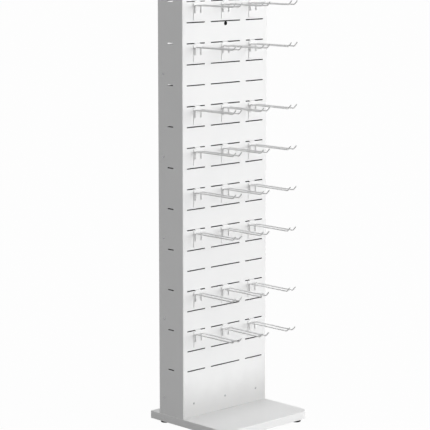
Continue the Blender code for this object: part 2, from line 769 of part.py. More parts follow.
def make_pivot_stud():
    """Stud under the pan, through the floor frame, with a nut that keeps the rack from lifting off."""
    top = BASE_TOP - BASE_SHEET - GAP
    nut_top = FRAME_BOTTOM - GAP
    profile = [
        (0.0, top),
        (STUD_FLANGE_RADIUS, top),
        (STUD_FLANGE_RADIUS, top - STUD_FLANGE),
        (STUD_RADIUS, top - STUD_FLANGE),
        (STUD_RADIUS, nut_top),
        (STUD_NUT_RADIUS, nut_top),
        (STUD_NUT_RADIUS, nut_top - STUD_NUT),
        (0.0, nut_top - STUD_NUT),
    ]
    add_object("pivot_stud", turned_mesh("pivot_stud", profile, STUD_STEPS), ZINC, TURN_AXIS)


make_floor_frame()
make_feet()
make_bearing()
make_pivot_stud()
make_base_pan()
make_column_bracket()
make_bracket_bolts()
make_column_shell()
make_rear_panel()
make_top_cap()
make_screws()
make_plug()
make_hooks()
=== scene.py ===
# %% [markdown]
# # Dressing a slotted display rack
#
# The rack is a tall column of folded sheet steel on a low base, with double-prong wire hooks hung in its
# slots. Its bodies and joints come ready made in a frame. This lesson puts the fine surfaces on that frame:
# sheets with punched slots, bent wire, pressed trays, screws and rubber feet. Every shape is worked out with
# numpy as rings or grids of points, and every finish is a small node tree.

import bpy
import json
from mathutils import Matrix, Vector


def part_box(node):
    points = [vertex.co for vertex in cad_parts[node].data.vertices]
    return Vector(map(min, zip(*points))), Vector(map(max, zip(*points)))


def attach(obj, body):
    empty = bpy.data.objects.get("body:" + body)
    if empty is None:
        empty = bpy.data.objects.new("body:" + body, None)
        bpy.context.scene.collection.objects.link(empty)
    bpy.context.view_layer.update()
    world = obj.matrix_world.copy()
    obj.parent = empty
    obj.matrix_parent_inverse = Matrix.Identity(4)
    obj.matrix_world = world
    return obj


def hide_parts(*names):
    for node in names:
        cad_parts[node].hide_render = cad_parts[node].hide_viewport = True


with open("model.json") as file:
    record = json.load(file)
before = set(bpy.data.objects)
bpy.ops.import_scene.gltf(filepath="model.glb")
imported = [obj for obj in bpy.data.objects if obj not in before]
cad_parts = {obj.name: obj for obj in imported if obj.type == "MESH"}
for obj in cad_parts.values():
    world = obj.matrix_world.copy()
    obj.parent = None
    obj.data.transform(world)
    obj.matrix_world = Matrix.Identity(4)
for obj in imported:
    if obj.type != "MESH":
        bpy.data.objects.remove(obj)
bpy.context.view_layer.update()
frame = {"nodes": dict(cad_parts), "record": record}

# %% Modules
import json
import math

import bmesh
import bpy
import numpy as np
from mathutils import Vector

scene = bpy.context.scene

# %% [markdown]
# ## Sizes
#
# The frame already knows where each piece is, so places are read from it. Only what a box can't tell is
# written down, in metres, where it is first needed: here the sheet's thickness, its folds and its slots.

# %% Sizes of the sheet metal and its slots
GAP = 0.0003
SHEET = 0.0015
FOLD_RADIUS = 0.003
FOLD_STEPS = 9
SUPPORT = 0.0004
ROW_COUNT = 20
ROW_PITCH = 0.070
LOWEST_ROW = 0.202
SLOT_HEIGHT = 0.0038
SLOT_CORNER = 0.0010
MIDDLE_SLOT_HALF = 0.0686
OUTER_SLOT = (0.0967, 0.1797)
SIDE_SLOT_LENGTH = 0.028
SIDE_SLOT_EVERY = 2
REAR_SLOT_DROP = 0.0045
SCREW_HOLE_RADIUS = 0.0025
PLUG_HOLE_RADIUS = 0.0051

shell_low, shell_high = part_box("column_shell")
rear_low, rear_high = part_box("rear_panel")
row_heights = LOWEST_ROW + ROW_PITCH * np.arange(ROW_COUNT)
print(len(row_heights), "slot rows from", row_heights[0], "to", round(row_heights[-1], 3))


# %% [markdown]
# ## From numbers to meshes
#
# All surfaces here are grids. A grid of rows and columns gives four corner numbers for each cell, and a
# closed loft is a grid of rings whose first and last rings are shut by one flat face. Finished meshes are
# baked through their modifiers at once, so that smooth and sharp edges can be set on the real surface.

# %% Grid helpers
MERGE_DISTANCE = 0.000001
SHARP_ANGLE = math.radians(20.0)


def grid_quads(rows, columns, closed=False):
    """Corner numbers of each cell of a grid, four to a cell; closed joins the last column to the first."""
    row = np.arange(rows - 1)[:, None]
    column = np.arange(columns if closed else columns - 1)[None, :]
    following = (column + 1) % columns
    low, high = row * columns, (row + 1) * columns
    corners = (low + column, low + following, high + following, high + column)
    return np.stack(np.broadcast_arrays(*corners), axis=-1).reshape(-1, 4)


def closed_loft(rings):
    """Points and faces of an array of rings, shaped (rings, points, 3), with both end rings shut flat."""
    count, size = rings.shape[:2]
    faces = grid_quads(count, size, closed=True).tolist()
    faces.append(list(range(size)))
    faces.append(list(range((count - 1) * size, count * size)))
    return rings.reshape(-1, 3), faces


def new_mesh(name, points, faces, closed=True):
    """A mesh of these points and faces, with doubled points merged. The faces of a closed shape are turned
    outwards."""
    mesh = bpy.data.meshes.new(name)
    mesh.from_pydata(points.tolist(), [], faces)
    shape = bmesh.new()
    shape.from_mesh(mesh)
    bmesh.ops.remove_doubles(shape, verts=shape.verts, dist=MERGE_DISTANCE)
    if closed:
        bmesh.ops.recalc_face_normals(shape, faces=shape.faces)
    shape.to_mesh(mesh)
    shape.free()
    return mesh


def joined(*parts):
    """Several (points, faces) shapes as one, the later faces counting on from the earlier points."""
    starts = np.cumsum([0] + [len(points) for points, faces in parts])
    points = np.concatenate([points for points, faces in parts])
    faces = []
    for start, (own_points, own_faces) in zip(starts, parts):
        faces += [[start + corner for corner in face] for face in own_faces]
    return points, faces


def softened(mesh):
    """Smooth shading that stops at real edges."""
    mesh.shade_smooth()
    mesh.set_sharp_from_angle(angle=SHARP_ANGLE)
    return mesh


def baked(mesh, *modifiers):
    """The mesh as it is after these modifiers, each given as its type and its settings."""
    holder = bpy.data.objects.new("holder", mesh)
    scene.collection.objects.link(holder)
    for kind, settings in modifiers:
        modifier = holder.modifiers.new(kind, kind)
        for key, value in settings.items():
            setattr(modifier, key, value)
    graph = bpy.context.evaluated_depsgraph_get()
    result = bpy.data.meshes.new_from_object(holder.evaluated_get(graph))
    bpy.data.objects.remove(holder)
    result.name = mesh.name
    return softened(result)


def cutter(name, points, faces):
    """A hidden helper for a Boolean, in no picture and removed after use."""
    helper = bpy.data.objects.new(name, new_mesh(name, points, faces))
    scene.collection.objects.link(helper)
    helper.hide_render = True
    return helper


def add_piece(name, mesh, body, slot, *nodes):
    """A finished piece at the origin: it rides on a body, stands for CAD nodes and takes a finish."""
    piece = bpy.data.objects.new(name, mesh)
    scene.collection.objects.link(piece)
    mesh.materials.clear()
    mesh.materials.append(finishes[slot])
    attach(piece, body)
    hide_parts(*nodes)
    return piece


# %% [markdown]
# ## Shared effects
#
# Powder coat is melted plastic dust: under a lamp it shows a fine orange peel and very soft changes of
# tone. Plated and ground steel shows streaks. Rubber and moulded plastic show grain. A soft grey shade is
# painted into the colour in the corner where the column's front meets the base. Each effect is a node group
# with named sockets, made once and set differently in each finish. Only values that change over the surface
# leave a group, and the shader stays in the material.

# %% Node helpers
NOISE_DETAIL = 3.0
NOISE_LOW = 0.3
NOISE_HIGH = 0.7


def new_group(name, inputs, outputs):
    """An empty shader node group with a Vector input, float inputs with defaults, and float outputs."""
    group = bpy.data.node_groups.new(name, "ShaderNodeTree")
    group.interface.new_socket("Vector", in_out="INPUT", socket_type="NodeSocketVector")
    for label, value in inputs.items():
        socket = group.interface.new_socket(label, in_out="INPUT", socket_type="NodeSocketFloat")
        socket.default_value = value
    for label in outputs:
        group.interface.new_socket(label, in_out="OUTPUT", socket_type="NodeSocketFloat")
    return group, group.nodes.new("NodeGroupInput"), group.nodes.new("NodeGroupOutput")


def add_noise(tree, vector, scale):
    """A noise texture on a vector; its scale is a number or another node's output."""
    noise = tree.nodes.new("ShaderNodeTexNoise")
    noise.inputs["Detail"].default_value = NOISE_DETAIL
    tree.links.new(vector, noise.inputs["Vector"])
    if isinstance(scale, (int, float)):
        noise.inputs["Scale"].default_value = scale
    else:
        tree.links.new(scale, noise.inputs["Scale"])
    return noise.outputs["Fac"]


def add_math(tree, operation, first, second):
    """A math node of two values, each a number or an output."""
    math_node = tree.nodes.new("ShaderNodeMath")
    math_node.operation = operation
    for socket, value in zip(math_node.inputs, (first, second)):
        if isinstance(value, (int, float)):
            socket.default_value = value
        else:
            tree.links.new(value, socket)
    return math_node.outputs["Value"]


def add_spread(tree, value, low, high):
    """Maps a noise's middle range to low..high."""
    spread = tree.nodes.new("ShaderNodeMapRange")
    spread.inputs["From Min"].default_value = NOISE_LOW
    spread.inputs["From Max"].default_value = NOISE_HIGH
    spread.inputs["To Min"].default_value = low
    spread.inputs["To Max"].default_value = high
    tree.links.new(value, spread.inputs["Value"])
    return spread.outputs["Result"]


# %% Orange peel of a powder coat
PEEL_GRAIN = 700.0
TONE_SCALE = 5.0
SHEEN_SCALE = 23.0


def make_peel_group():
    """Height is a fine noise of the given size; Tone and Sheen are slow noises over the piece."""
    outputs = ("Height", "Tone", "Sheen")
    group, entry, leave = new_group("orange_peel", {"Grain Per Metre": PEEL_GRAIN}, outputs)
    vector = entry.outputs["Vector"]
    group.links.new(add_noise(group, vector, entry.outputs["Grain Per Metre"]), leave.inputs["Height"])
    tone = add_spread(group, add_noise(group, vector, TONE_SCALE), 0.0, 1.0)
    group.links.new(tone, leave.inputs["Tone"])
    sheen = add_spread(group, add_noise(group, vector, SHEEN_SCALE), 0.0, 1.0)
    group.links.new(sheen, leave.inputs["Sheen"])
    return group


# %% Streaks of plated or ground steel
STREAK_GRAIN = 40.0
STREAK_STRETCH = (6.0, 60.0, 60.0)
CLOUD_SCALE = 180.0


def make_streak_group():
    """Height is a noise drawn out along X; Tone is a cloudy noise, like the bloom on zinc."""
    group, entry, leave = new_group("plating_streaks", {"Grain Per Metre": STREAK_GRAIN}, ("Height", "Tone"))
    stretch = group.nodes.new("ShaderNodeVectorMath")
    stretch.operation = "MULTIPLY"
    stretch.inputs[1].default_value = STREAK_STRETCH
    group.links.new(entry.outputs["Vector"], stretch.inputs[0])
    streak = add_noise(group, stretch.outputs["Vector"], entry.outputs["Grain Per Metre"])
    group.links.new(streak, leave.inputs["Height"])
    cloud = add_spread(group, add_noise(group, entry.outputs["Vector"], CLOUD_SCALE), 0.0, 1.0)
    group.links.new(cloud, leave.inputs["Tone"])
    return group


# %% Painted shade in the corner at the column's foot
SHADE_REACH = 0.085
SHADE_CLOUD_SCALE = 14.0
SHADE_CLOUD = (0.85, 1.15)
SHADE_ON_BASE = 0.35
SHADE_PAST_FOLD = 100.0


def make_corner_shade_group():
    """Mask of the painted shade: a bell curve of the distance from the line where the column's front meets
    the
    base: height up the front, or distance out over the base, where it is weaker. Past the folds the distance
    grows so fast that the sides stay unshaded."""
    group, entry, leave = new_group("painted_corner_shade", {"Reach": SHADE_REACH}, ("Mask",))
    parts = group.nodes.new("ShaderNodeSeparateXYZ")
    group.links.new(entry.outputs["Vector"], parts.inputs["Vector"])
    height = add_math(group, "SUBTRACT", parts.outputs["Z"], shell_low.z)
    out = add_math(group, "ABSOLUTE", add_math(group, "SUBTRACT", parts.outputs["Y"], shell_low.y), 0.0)
    across = add_math(group, "ABSOLUTE", parts.outputs["X"], 0.0)
    past = add_math(group, "MAXIMUM", add_math(group, "SUBTRACT", across, shell_high.x - FOLD_RADIUS), 0.0)
    near = add_math(group, "ADD", add_math(group, "MAXIMUM", height, 0.0), out)
    distance = add_math(group, "ADD", near, add_math(group, "MULTIPLY", past, SHADE_PAST_FOLD))
    share = add_math(group, "DIVIDE", distance, entry.outputs["Reach"])
    cloud = add_spread(group, add_noise(group, entry.outputs["Vector"], SHADE_CLOUD_SCALE), *SHADE_CLOUD)
    cloudy = add_math(group, "MULTIPLY", share, cloud)
    fall = add_math(group, "POWER", math.exp(-1.0), add_math(group, "MULTIPLY", cloudy, cloudy))
    on_column = add_math(group, "GREATER_THAN", height, -GAP / 2)
    weight = add_math(group, "MAXIMUM", on_column, SHADE_ON_BASE)
    group.links.new(add_math(group, "MULTIPLY", fall, weight), leave.inputs["Mask"])
    return group


peel_group = make_peel_group()
streak_group = make_streak_group()
corner_shade_group = make_corner_shade_group()
print("node groups", peel_group.name, streak_group.name, corner_shade_group.name)

# %% [markdown]
# ## Finishes
#
# A finish is a Principled shader whose colour, roughness and normal read one of the groups on Object
# coordinates. The white of the rack is a little under paper white, so that lit faces keep their shape.

# %% A finish from its values


def add_group(tree, group, label, value):
    """The group placed in a material, on Object coordinates, with the input of this label set."""
    place = tree.nodes.new("ShaderNodeTexCoord")
    effect = tree.nodes.new("ShaderNodeGroup")
    effect.node_tree = group
    effect.inputs[label].default_value = value
    tree.links.new(place.outputs["Object"], effect.inputs["Vector"])
    return effect


def add_mix(tree, factor, first, second):
    """A colour mix; each colour is three numbers or another node's output."""
    mix = tree.nodes.new("ShaderNodeMix")
    mix.data_type = "RGBA"
    tree.links.new(factor, mix.inputs["Factor"])
    for socket, colour in zip((mix.inputs["A"], mix.inputs["B"]), (first, second)):
        if isinstance(colour, tuple):
            socket.default_value = (*colour, 1.0)
        else:
            tree.links.new(colour, socket)
    return mix.outputs["Result"]


def make_finish(
    name, group, colours, grain, roughness, bump, metallic=0.0, specular=0.5, bare_and_shade=None, corner_shade=None
):
    """A Principled material: two colours mixed by Tone, a roughness range by Sheen or Tone, and a bump by
    Height, given as strength and depth. A dark colour, where given, shows on faces marked as the inside of a
    sheet, as bare steel and painted shade, and a painted shade colour in the corner at the column's foot."""
    material = bpy.data.materials.new(name)
    material.use_nodes = True
    tree = material.node_tree
    shader = tree.nodes["Principled BSDF"]
    shader.inputs["Metallic"].default_value = metallic
    shader.inputs["Specular IOR Level"].default_value = specular
    effect = add_group(tree, group, "Grain Per Metre", grain)

    colour = add_mix(tree, effect.outputs["Tone"], *colours)
    # Painted shade: the corner mask darkens the colour at the column's foot.
    if corner_shade:
        corner = add_group(tree, corner_shade_group, "Reach", SHADE_REACH)
        colour = add_mix(tree, corner.outputs["Mask"], colour, corner_shade)
    # Faces marked inside take a dark colour: bare steel on the inner face, painted shade on the slots'
    # walls.
    if bare_and_shade:
        mark = tree.nodes.new("ShaderNodeAttribute")
        mark.attribute_name = "inside"
        colour = add_mix(tree, mark.outputs["Fac"], colour, bare_and_shade)
    tree.links.new(colour, shader.inputs["Base Color"])

    gloss = effect.outputs.get("Sheen") or effect.outputs["Tone"]
    spread = tree.nodes.new("ShaderNodeMapRange")
    spread.inputs["To Min"].default_value = roughness[0]
    spread.inputs["To Max"].default_value = roughness[1]
    tree.links.new(gloss, spread.inputs["Value"])
    tree.links.new(spread.outputs["Result"], shader.inputs["Roughness"])

    relief = tree.nodes.new("ShaderNodeBump")
    relief.inputs["Strength"].default_value = bump[0]
    relief.inputs["Distance"].default_value = bump[1]
    tree.links.new(effect.outputs["Height"], relief.inputs["Height"])
    tree.links.new(relief.outputs["Normal"], shader.inputs["Normal"])
    return material


# %% The seven finishes
PANEL_WHITE = ((0.865, 0.868, 0.868), (0.885, 0.886, 0.884))
HOOK_WHITE = ((0.86, 0.86, 0.86), (0.89, 0.89, 0.888))
ZINC = ((0.37, 0.375, 0.38), (0.45, 0.455, 0.46))
STEEL = ((0.50, 0.50, 0.51), (0.60, 0.60, 0.61))
FRAME_BLACK = ((0.028, 0.028, 0.030), (0.045, 0.045, 0.046))
RUBBER_BLACK = ((0.030, 0.030, 0.030), (0.060, 0.059, 0.057))
PLUG_BLACK = ((0.006, 0.006, 0.006), (0.010, 0.010, 0.010))
# Bare steel inside the column, darker than bare steel as painted shade; also painted shade on the slots'
# walls.
BARE_SHEET_AND_SLOT_SHADE = (0.10, 0.10, 0.103)
# Painted shade mixed into the white at the column's foot.
PAINTED_CORNER_SHADE = (0.58, 0.58, 0.576)

finishes = {
    # The white panel finish carries painted shade: dark inside and on the slots' walls, grey at the column's
    # foot.
    "white_powder_coat": make_finish(
        "white_powder_coat_peel", peel_group, PANEL_WHITE, grain=PEEL_GRAIN,
        roughness=(0.40, 0.50), bump=(0.12, 0.00012), bare_and_shade=BARE_SHEET_AND_SLOT_SHADE, corner_shade=PAINTED_CORNER_SHADE,
    ),
    "white_hook_coat": make_finish(
        "white_hook_coat_peel", peel_group, HOOK_WHITE, grain=1100.0,
        roughness=(0.32, 0.42), bump=(0.10, 0.00008),
    ),
    "zinc_plate": make_finish(
        "zinc_plate_bloom", streak_group, ZINC, grain=STREAK_GRAIN,
        roughness=(0.35, 0.50), bump=(0.08, 0.00004), metallic=1.0,
    ),
    "bearing_steel": make_finish(
        "bearing_steel_ground", streak_group, STEEL, grain=25.0,
        roughness=(0.18, 0.30), bump=(0.06, 0.00003), metallic=1.0,
    ),
    "black_frame_coat": make_finish(
        "black_frame_coat_peel", peel_group, FRAME_BLACK, grain=600.0,
        roughness=(0.42, 0.55), bump=(0.15, 0.00012),
    ),
    "foot_rubber": make_finish(
        "foot_rubber_grain", peel_group, RUBBER_BLACK, grain=1800.0,
        roughness=(0.70, 0.85), bump=(0.25, 0.00010),
    ),
    "plug_black": make_finish(
        "plug_black_moulded", peel_group, PLUG_BLACK, grain=2500.0,
        roughness=(0.60, 0.70), bump=(0.12, 0.00005), specular=0.06,
    ),
}
print("finishes", sorted(finishes))


# %% [markdown]
# ## The slotted column
#
# Front and sides are one sheet, punched flat and then folded. So it is drawn flat: grid lines run along
# and across the sheet, and the cells inside a slot are left out. Near a slot's ends the two lines beside it
# close in along a quarter circle, which rounds the corners as a punch does. Then the flat sheet is wrapped
# round its plan, Solidify gives it thickness, and Bevel takes the rawness off the edges. Powder hardly gets
# inside a closed column, so its inner face is marked and shows bare steel, darker than bare steel as painted
# shade. The slots' walls are marked too and get the same dark colour as painted shade.
# Cutting the slots with Booleans would also work, but it would leave long thin triangles in every panel.

# %% A folded sheet with openings
END_ANGLES = np.radians((0.0, 30.0, 60.0, 90.0))
LINE_DIGITS = 7
EDGE_SOFTENING = 0.0002
EDGE_SEGMENTS = 2
EDGE_ANGLE = math.radians(60.0)
INSIDE_SHARE = 0.9


def folded_plan(along, half_width, radius):
    """Plan of a sheet folded back at both ends, for distances from the middle of its front: flat across, a
    quarter circle at each fold, then straight back. The front face is at y = 0 and the sides run to +y."""
    flat = half_width - radius
    over = np.abs(along) - flat
    turn = np.clip(over / radius, 0.0, math.pi / 2)
    behind = np.clip(over - radius * math.pi / 2, 0.0, None)
    x = np.sign(along) * (np.minimum(np.abs(along), flat) + radius * np.sin(turn))
    return x, radius * (1.0 - np.cos(turn)) + behind


def side_distance(half_width, depth):
    """Distance along the sheet, from the middle of its front, of a place on the side at this depth."""
    return half_width - FOLD_RADIUS + FOLD_RADIUS * math.pi / 2 + depth - FOLD_RADIUS


def fold_lines(half_width, depth):
    """Lines across the sheet: its ends, the steps of both folds, and a support line beside each fold."""
    start = half_width - FOLD_RADIUS
    steps = start + FOLD_RADIUS * np.linspace(0.0, math.pi / 2, FOLD_STEPS + 1)
    supports = (start - SUPPORT, steps[-1] + SUPPORT, side_distance(half_width, depth))
    half = np.concatenate([steps, supports])
    return np.concatenate([-half, [0.0], half])


def opening_lines(openings):
    """Lines that the openings need: across at the steps of their round corners, along at their long edges,
    and a support line just past each of these, which keeps the flat sheet evenly shaded."""
    centre, height, half, rise, corner = openings.T
    ends = (half - corner)[:, None] + corner[:, None] * np.sin(END_ANGLES)
    ends = np.column_stack([ends, half + SUPPORT])
    across = np.concatenate([centre[:, None] - ends, centre[:, None] + ends])
    reach = np.column_stack([rise, rise + SUPPORT])
    along = np.concatenate([height[:, None] - reach, height[:, None] + reach])
    return across.ravel(), along.ravel()


def slotted_sheet(name, plan, across, along, openings):
    """A sheet z = height over a plan, with openings given as rows of (centre, height, half length, half
    height, corner radius). Past the start of a corner, the lines beside an opening close in on its middle by
    the corner radius times one minus the circle's rise."""
    ends, edges = opening_lines(openings)
    across = np.unique(np.round(np.concatenate([across, ends]), LINE_DIGITS))
    along = np.unique(np.round(np.concatenate([along, edges]), LINE_DIGITS))
    level = np.repeat(along[:, None], len(across), axis=1)
    kept = np.ones((len(along) - 1, len(across) - 1), bool)
    cell_across = (across[:-1] + across[1:]) / 2
    cell_along = (along[:-1] + along[1:]) / 2
    for centre, height, half, rise, corner in openings:
        offset = np.abs(across - centre)
        inside = offset <= half + MERGE_DISTANCE
        past = np.clip((offset[inside] - half + corner) / corner, 0.0, 1.0)
        reach = rise - corner * (1.0 - np.sqrt(1.0 - past * past))
        level[np.abs(along - height + rise).argmin(), inside] = height - reach
        level[np.abs(along - height - rise).argmin(), inside] = height + reach
        hole = np.ix_(np.abs(cell_along - height) < rise, np.abs(cell_across - centre) < half)
        kept[hole] = False
    x, y = plan(across)
    points = np.stack(np.broadcast_arrays(x[None, :], y[None, :], level), axis=-1).reshape(-1, 3)
    quads = grid_quads(len(along), len(across))[kept.ravel()]
    used, corners = np.unique(quads, return_inverse=True)
    flat = new_mesh(name, points[used], corners.reshape(-1, 4).tolist(), closed=False)
    wall = {"thickness": SHEET, "offset": -1.0, "use_even_offset": True}
    edge = {
        "width": EDGE_SOFTENING,
        "segments": EDGE_SEGMENTS,
        "limit_method": "ANGLE",
        "angle_limit": EDGE_ANGLE,
        "use_clamp_overlap": False,
    }
    return baked(flat, ("SOLIDIFY", wall), ("BEVEL", edge))


def sheet_depth(across, behind):
    """Depth under the outer face of a folded sheet, from the distances behind its side face and its front
    face; at the fold it is the fold radius less the distance from the fold's axis."""
    fold = FOLD_RADIUS - np.hypot(FOLD_RADIUS - across, FOLD_RADIUS - behind)
    at_fold = (across < FOLD_RADIUS) & (behind < FOLD_RADIUS)
    return np.where(at_fold, fold, np.minimum(across, behind))


def mark_inside(mesh, half_width, behind_of, depth, lowest):
    """Writes an attribute that is one on the inner face of a sheet and on the walls of its slots."""
    points = np.empty(len(mesh.vertices) * 3)
    mesh.vertices.foreach_get("co", points)
    x, y, z = points.reshape(-1, 3).T
    behind = behind_of(y)
    under = sheet_depth(half_width - np.abs(x), behind)
    off_row = np.abs((z - lowest + ROW_PITCH / 2) % ROW_PITCH - ROW_PITCH / 2)
    # The slots' walls are marked so that they take the dark colour as painted shade.
    wall = (off_row < SLOT_HEIGHT) & (behind < depth - SHEET) & (under > EDGE_SOFTENING / 2)
    inside = mesh.attributes.new("inside", "FLOAT", "POINT")
    inside.data.foreach_set("value", (wall | (under > INSIDE_SHARE * SHEET)).astype(np.float32))


def slot_row(height):
    """The three long slots of a row, as openings."""
    outer_centre = (OUTER_SLOT[0] + OUTER_SLOT[1]) / 2
    outer_half = (OUTER_SLOT[1] - OUTER_SLOT[0]) / 2
    half = SLOT_HEIGHT / 2
    return [
        (-outer_centre, height, outer_half, half, SLOT_CORNER),
        (0.0, height, MIDDLE_SLOT_HALF, half, SLOT_CORNER),
        (outer_centre, height, outer_half, half, SLOT_CORNER),
    ]


def round_opening(along, height, radius):
    """A round hole, as an opening whose corners meet."""
    return (along, height, radius, radius, radius)


# %% Where the screws and the plug go through
def nodes_named(start):
    """The CAD nodes whose names start like this, in order."""
    return sorted(node for node in frame["nodes"] if node.startswith(start))


front_screws = nodes_named("front_screw_")
side_screws = nodes_named("side_screw_")


def middle_of(node):
    """Middle of a CAD node's box."""
    low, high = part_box(node)
    return (low + high) / 2


def side_screw_openings(half_width, front, sign=1.0):
    """Round holes for the side screws, laid out on the sheet; sign turns depth round for the back panel."""
    openings = []
    for node in side_screws:
        place = middle_of(node)
        along = side_distance(half_width, sign * (place.y - front))
        openings.append(round_opening(sign * math.copysign(along, place.x), place.z, SCREW_HOLE_RADIUS))
    return openings


# %% Make the column
def column_openings(half_width):
    """Every slot and hole of the column's sheet."""
    openings = [opening for height in row_heights for opening in slot_row(height)]
    depth = (shell_high.y - shell_low.y) / 2
    along = side_distance(half_width, depth)
    for height in row_heights[::SIDE_SLOT_EVERY]:
        size = (SIDE_SLOT_LENGTH / 2, SLOT_HEIGHT / 2, SLOT_CORNER)
        openings += [(side * along, height, *size) for side in (-1, 1)]
    openings += side_screw_openings(half_width, shell_low.y)
    for node in front_screws:
        place = middle_of(node)
        openings.append(round_opening(place.x, place.z, SCREW_HOLE_RADIUS))
    plug = middle_of("front_plug")
    openings.append(round_opening(plug.x, plug.z, PLUG_HOLE_RADIUS))
    return np.array(openings)


def make_column():
    """The folded front and sides."""
    half_width = shell_high.x

    def plan(along):
        x, y = folded_plan(along, half_width, FOLD_RADIUS)
        return x, y + shell_low.y

    depth = shell_high.y - shell_low.y
    across = fold_lines(half_width, depth)
    ends = np.array((shell_low.z, shell_high.z))
    mesh = slotted_sheet("slotted_column", plan, across, ends, column_openings(half_width))
    mark_inside(mesh, half_width, lambda y: y - shell_low.y, depth, LOWEST_ROW)
    return add_piece("slotted_column", mesh, "rack", "white_powder_coat", "column_shell")


column = make_column()
print("column", len(column.data.polygons), "faces")

# %% [markdown]
# ## The back panel
#
# The back is the same kind of sheet, turned half way round and a little narrower, so that its flanges lie
# inside the column's sides and take the side screws. Its slots sit a few millimetres lower than those in
# front and in the sides. So a camera that looks down a little sees daylight only in the highest side slots,
# where its line of sight drops by just that much on its way to the back, and the other slots look dark.

# %% Make the back panel


def make_back():
    """The slotted back with its two flanges."""
    half_width = rear_high.x

    def plan(along):
        x, y = folded_plan(along, half_width, FOLD_RADIUS)
        return -x, rear_high.y - y

    openings = [opening for height in row_heights - REAR_SLOT_DROP for opening in slot_row(height)]
    openings += side_screw_openings(half_width, rear_high.y, -1.0)
    depth = rear_high.y - rear_low.y
    across = fold_lines(half_width, depth)
    ends = np.array((rear_low.z, rear_high.z))
    mesh = slotted_sheet("slotted_back", plan, across, ends, np.array(openings))
    mark_inside(mesh, half_width, lambda y: rear_high.y - y, depth, LOWEST_ROW - REAR_SLOT_DROP)
    return add_piece("slotted_back", mesh, "rack", "white_powder_coat", "rear_panel")


back = make_back()
print("back", len(back.data.polygons), "faces")

# %% [markdown]
# ## Lid and base
#
# Both are trays: one outline with round corners, drawn in by different amounts at different heights. The
# rings run from the flat top, over the rounded edge, down the outside, round the rim and up the inside.
# A ring just inside the rounded edge keeps the flat top flat when it is shaded smooth. A box with Bevel
# would do for the lid, but the base's front corners are far rounder than its rear ones, so both come from
# rings.

# %% Tray helpers
CORNER_STEPS = 20
EDGE_STEPS = 6
LEAST_RADIUS = 0.0003


def rounded_plan(low, high, front_radius, rear_radius, inset):
    """A closed outline between two corners, drawn in by inset, with a quarter circle at each corner."""
    corners = (
        (low.x, low.y, 1, 1, front_radius, 180.0),
        (high.x, low.y, -1, 1, front_radius, 270.0),
        (high.x, high.y, -1, -1, rear_radius, 0.0),
        (low.x, high.y, 1, -1, rear_radius, 90.0),
    )
    outline = []
    for x, y, inward_x, inward_y, radius, start in corners:
        left = max(radius - inset, LEAST_RADIUS)
        angle = np.radians(start + np.linspace(0.0, 90.0, CORNER_STEPS + 1))
        centre_x = x + inward_x * (inset + left)
        centre_y = y + inward_y * (inset + left)
        outline.append(np.stack([centre_x + left * np.cos(angle), centre_y + left * np.sin(angle)], axis=-1))
    return np.concatenate(outline)


def rounded_edge(inset, height, radius, start, end):
    """Stations (inset, height) on an arc of an edge, angles in degrees from straight in."""
    angle = np.radians(np.linspace(start, end, EDGE_STEPS + 1))
    return list(zip(inset + radius * np.cos(angle), height + radius * np.sin(angle)))


def tray_rings(low, high, front_radius, rear_radius, stations):
    """The rings of a tray: the outline drawn in and lifted as each station says."""
    rings = []
    for inset, height in stations:
        outline = rounded_plan(low, high, front_radius, rear_radius, inset)
        rings.append(np.column_stack([outline, np.full(len(outline), height)]))
    return np.stack(rings)


# %% The base tray
BASE_SHEET = 0.002
BASE_FRONT_RADIUS = 0.037
BASE_EDGE_RADIUS = 0.002
RIM_SOFTENING = 0.0004
BOLT_HOLE_RADIUS = 0.0043
BOLT_HOLE_STEPS = 24
HOLE_REACH = 0.006


def circle_rings(centre, stations, steps):
    """Rings about an upright axis through a centre, one for each (radius, height)."""
    angle = np.linspace(0.0, 2.0 * math.pi, steps, endpoint=False)
    radius, height = np.array(stations).T
    x = centre[0] + radius[:, None] * np.cos(angle)
    y = centre[1] + radius[:, None] * np.sin(angle)
    z = np.repeat(height[:, None], steps, axis=1)
    return np.stack([x, y, z], axis=-1)


def base_stations(low, high):
    """Top, rounded edge, outside, rim, inside and underside of the base, as (inset, height)."""
    edge = BASE_EDGE_RADIUS
    inner = BASE_SHEET
    ceiling = high - BASE_SHEET
    stations = [(edge + SUPPORT, high)]
    stations += rounded_edge(edge, high - edge, edge, 90.0, 180.0)
    stations += [(0.0, high - edge - SUPPORT), (0.0, low + RIM_SOFTENING), (RIM_SOFTENING, low)]
    stations += [(inner - RIM_SOFTENING, low), (inner, low + RIM_SOFTENING), (inner, ceiling)]
    return stations


def make_base():
    """The base tray with holes for the column's bolts."""
    low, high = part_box("base_pan")
    rings = tray_rings(low, high, BASE_FRONT_RADIUS, FOLD_RADIUS, base_stations(low.z, high.z))
    mesh = new_mesh("base_tray", *closed_loft(rings))
    bolts = [middle_of(node) for node in nodes_named("bracket_bolt_")]
    hole = ((BOLT_HOLE_RADIUS, high.z + HOLE_REACH), (BOLT_HOLE_RADIUS, high.z - HOLE_REACH))
    drills = [closed_loft(circle_rings(bolt, hole, BOLT_HOLE_STEPS)) for bolt in bolts]
    drill = cutter("bolt_drills", *joined(*drills))
    mesh = baked(mesh, ("BOOLEAN", {"operation": "DIFFERENCE", "solver": "EXACT", "object": drill}))
    bpy.data.objects.remove(drill)
    return add_piece("base_tray", mesh, "rack", "white_powder_coat", "base_pan")


base = make_base()
print("base", len(base.data.polygons), "faces")

# %% The lid
CAP_SKIRT = 0.020
LID_EDGE_RADIUS = 0.0006


